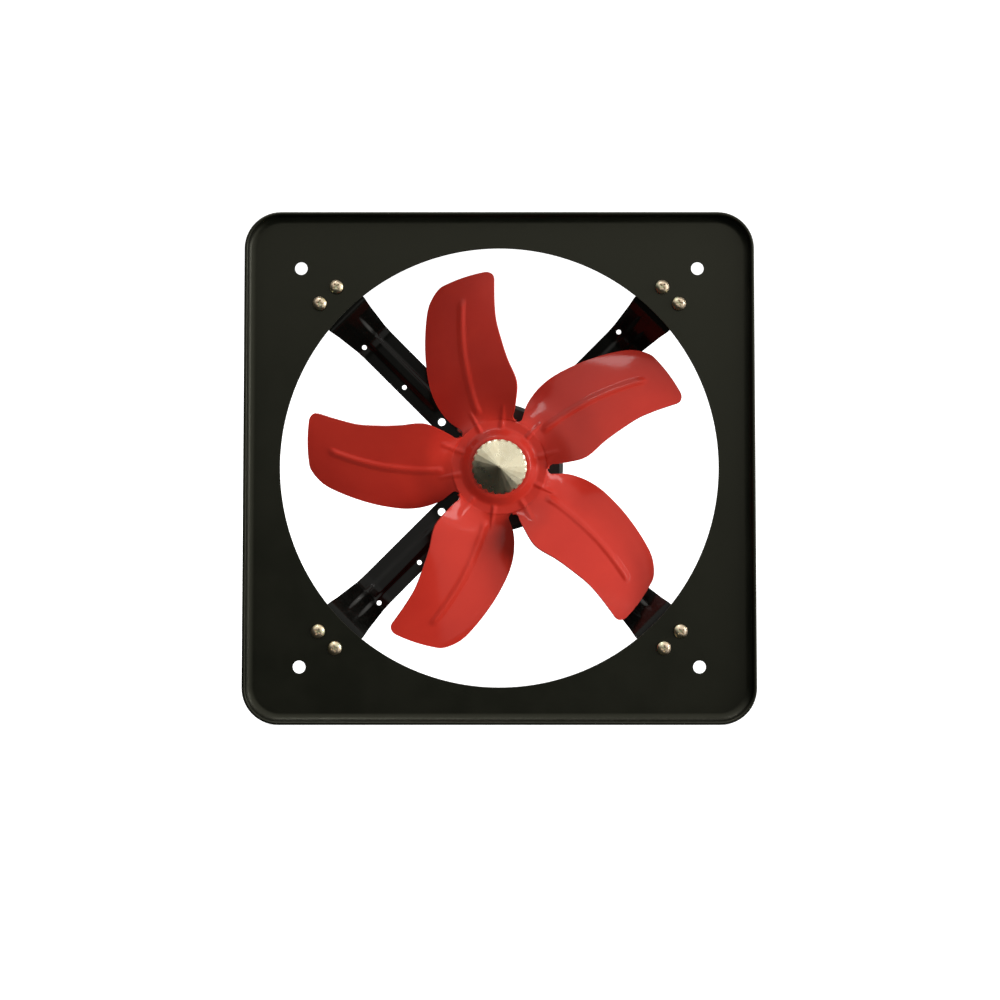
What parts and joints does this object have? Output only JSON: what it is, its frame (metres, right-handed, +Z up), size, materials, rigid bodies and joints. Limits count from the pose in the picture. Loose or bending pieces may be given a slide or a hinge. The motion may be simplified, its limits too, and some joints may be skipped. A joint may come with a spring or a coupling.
{
  "type": "exhaust hood fan",
  "caption": "Axial exhaust fan: pressed square frame with a round opening, red swept-blade impeller and a rear motor held on pressed arms.",
  "frame": {"origin": "on the fan's axis, in the plane of the square frame's rear face, which lies against the wall or hood", "axes": "+X to the right and +Z up, seen from the front; the fan's axis is Y, the intake side faces -Y and the motor stands behind at +Y"},
  "size_m": [0.3776, 0.1803, 0.3776],
  "materials": {
    "frame_paint": "satin black paint, faintly olive, on pressed sheet steel",
    "motor_paint": "black paint on cast covers and rolled shell",
    "blade_enamel": "gloss red enamel on pressed sheet steel",
    "zinc_fasteners": "yellow passivated zinc",
    "bright_steel": "bright plated or ground steel",
    "spinner_plating": "polished champagne nickel on brass",
    "core_steel": "lamination stack and blackened steel",
    "winding_wire": "varnished copper wire",
    "black_plastic": "moulded black nylon",
    "grey_plastic": "moulded grey plastic"
  },
  "bodies": {
    "housing": {"arm_bolt_bottom_left_1": "zinc_fasteners", "arm_bolt_bottom_left_2": "zinc_fasteners", "arm_bolt_bottom_right_1": "zinc_fasteners", "arm_bolt_bottom_right_2": "zinc_fasteners", "arm_bolt_top_left_1": "zinc_fasteners", "arm_bolt_top_left_2": "zinc_fasteners", "arm_bolt_top_right_1": "zinc_fasteners", "arm_bolt_top_right_2": "zinc_fasteners", "arm_bottom_left": "frame_paint", "arm_bottom_right": "frame_paint", "arm_nut_bottom_left_1": "zinc_fasteners", "arm_nut_bottom_left_2": "zinc_fasteners", "arm_nut_bottom_right_1": "zinc_fasteners", "arm_nut_bottom_right_2": "zinc_fasteners", "arm_nut_top_left_1": "zinc_fasteners", "arm_nut_top_left_2": "zinc_fasteners", "arm_nut_top_right_1": "zinc_fasteners", "arm_nut_top_right_2": "zinc_fasteners", "arm_top_left": "frame_paint", "arm_top_right": "frame_paint", "box_lid": "black_plastic", "box_screw_1": "bright_steel", "box_screw_2": "bright_steel", "capacitor": "grey_plastic", "frame_plate": "frame_paint", "front_bearing_outer_ring": "bright_steel", "front_cover": "motor_paint", "gland_body": "black_plastic", "gland_cap_nut": "black_plastic", "gland_lock_nut": "black_plastic", "lid_screw_1": "bright_steel", "lid_screw_2": "bright_steel", "motor_bolt_bottom_left": "bright_steel", "motor_bolt_bottom_right": "bright_steel", "motor_bolt_top_left": "bright_steel", "motor_bolt_top_right": "bright_steel", "motor_shell": "motor_paint", "preload_washer": "bright_steel", "rear_bearing_outer_ring": "bright_steel", "rear_cover": "motor_paint", "stator_core": "core_steel", "stator_winding": "winding_wire", "terminal_block": "grey_plastic", "terminal_box": "black_plastic"},
    "rotor": {"shaft": "bright_steel", "rotor_core": "core_steel", "hub_boss": "bright_steel", "hub_grub_screw": "core_steel", "impeller": "blade_enamel", "lock_washer": "bright_steel", "spinner_nut": "spinner_plating", "front_bearing_inner_ring": "bright_steel", "rear_bearing_inner_ring": "bright_steel"},
    "front_balls": {"front_bearing_balls": "bright_steel"},
    "rear_balls": {"rear_bearing_balls": "bright_steel"}
  },
  "joints": [
    {"name": "impeller_spin", "type": "hinge", "parent": "housing", "child": "rotor", "pos_m": [0, 0, 0], "axis": [0, 1, 0], "continuous": true},
    {"name": "front_cage_roll", "type": "hinge", "parent": "housing", "child": "front_balls", "pos_m": [0, 0.0614, 0], "axis": [0, 1, 0], "continuous": true},
    {"name": "rear_cage_roll", "type": "hinge", "parent": "housing", "child": "rear_balls", "pos_m": [0, 0.1251, 0], "axis": [0, 1, 0], "continuous": true}
  ],
  "couplings": [
    {"joint": "front_cage_roll", "follows": "impeller_spin", "ratio": 0.3659},
    {"joint": "rear_cage_roll", "follows": "impeller_spin", "ratio": 0.3659}
  ]
}
